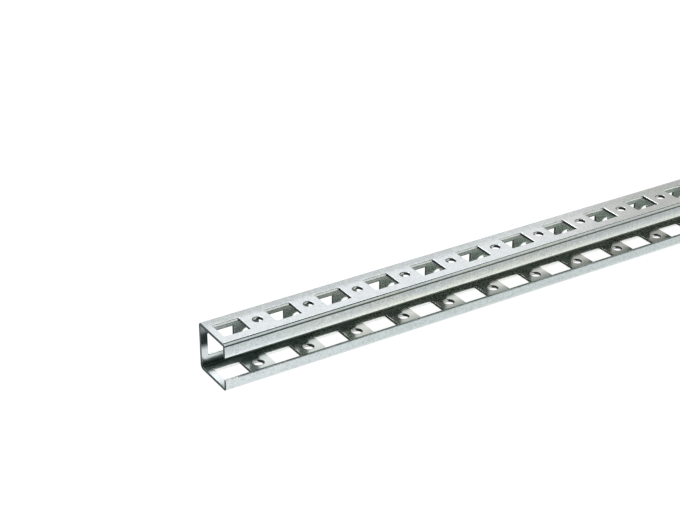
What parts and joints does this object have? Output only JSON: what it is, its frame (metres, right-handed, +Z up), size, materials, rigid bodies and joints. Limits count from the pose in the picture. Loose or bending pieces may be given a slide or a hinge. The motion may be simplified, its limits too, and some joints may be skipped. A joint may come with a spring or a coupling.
{
  "type": "perforated mounting rail",
  "caption": "Perforated C-section mounting rail with turned-in lips, bent from zinc-plated steel strip, with rows of oblong and round holes along three sides.",
  "frame": {"origin": "middle of the rail's length and depth, on the surface that its lower flange rests on", "axes": "+X along the rail away from its near end, +Y towards the web, so the slot faces -Y, and +Z up"},
  "size_m": [0.395, 0.023, 0.023],
  "materials": {
    "zinc_plated_steel": "bright zinc-plated strip with bare punched and cut edges"
  },
  "bodies": {
    "root": {"perforated_rail": "zinc_plated_steel"}
  },
  "joints": []
}
